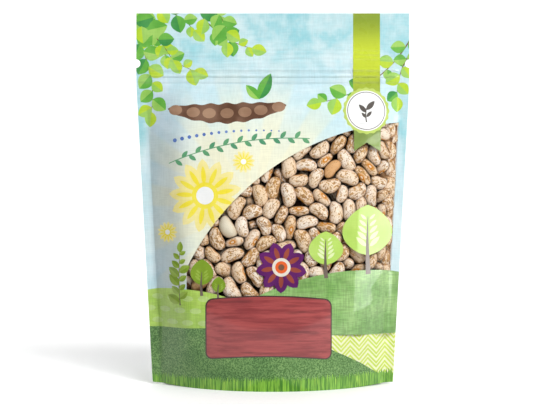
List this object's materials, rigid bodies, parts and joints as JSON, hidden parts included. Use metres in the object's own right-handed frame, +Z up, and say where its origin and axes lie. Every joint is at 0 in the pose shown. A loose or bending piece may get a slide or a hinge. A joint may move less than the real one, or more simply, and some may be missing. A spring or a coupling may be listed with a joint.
{
  "type": "stand-up pouch of dried beans",
  "caption": "Sealed printed stand-up pouch of speckled dried beans, with tear notches, a press-to-close strip and a clear window on its front.",
  "frame": {"origin": "centre of the footprint, on the surface that the pouch stands on", "axes": "+Z up towards the header, the front with the window faces -Y, +X to the right of someone who looks at the front"},
  "size_m": [0.18, 0.0676, 0.245],
  "materials": {
    "pouch": "satin printed film",
    "beans": "smooth dry seed coat, slightly glossy",
    "window_film": "clear glossy film"
  },
  "bodies": {
    "root": {"pouch": "pouch", "beans": "beans", "window_film": "window_film"}
  },
  "joints": []
}
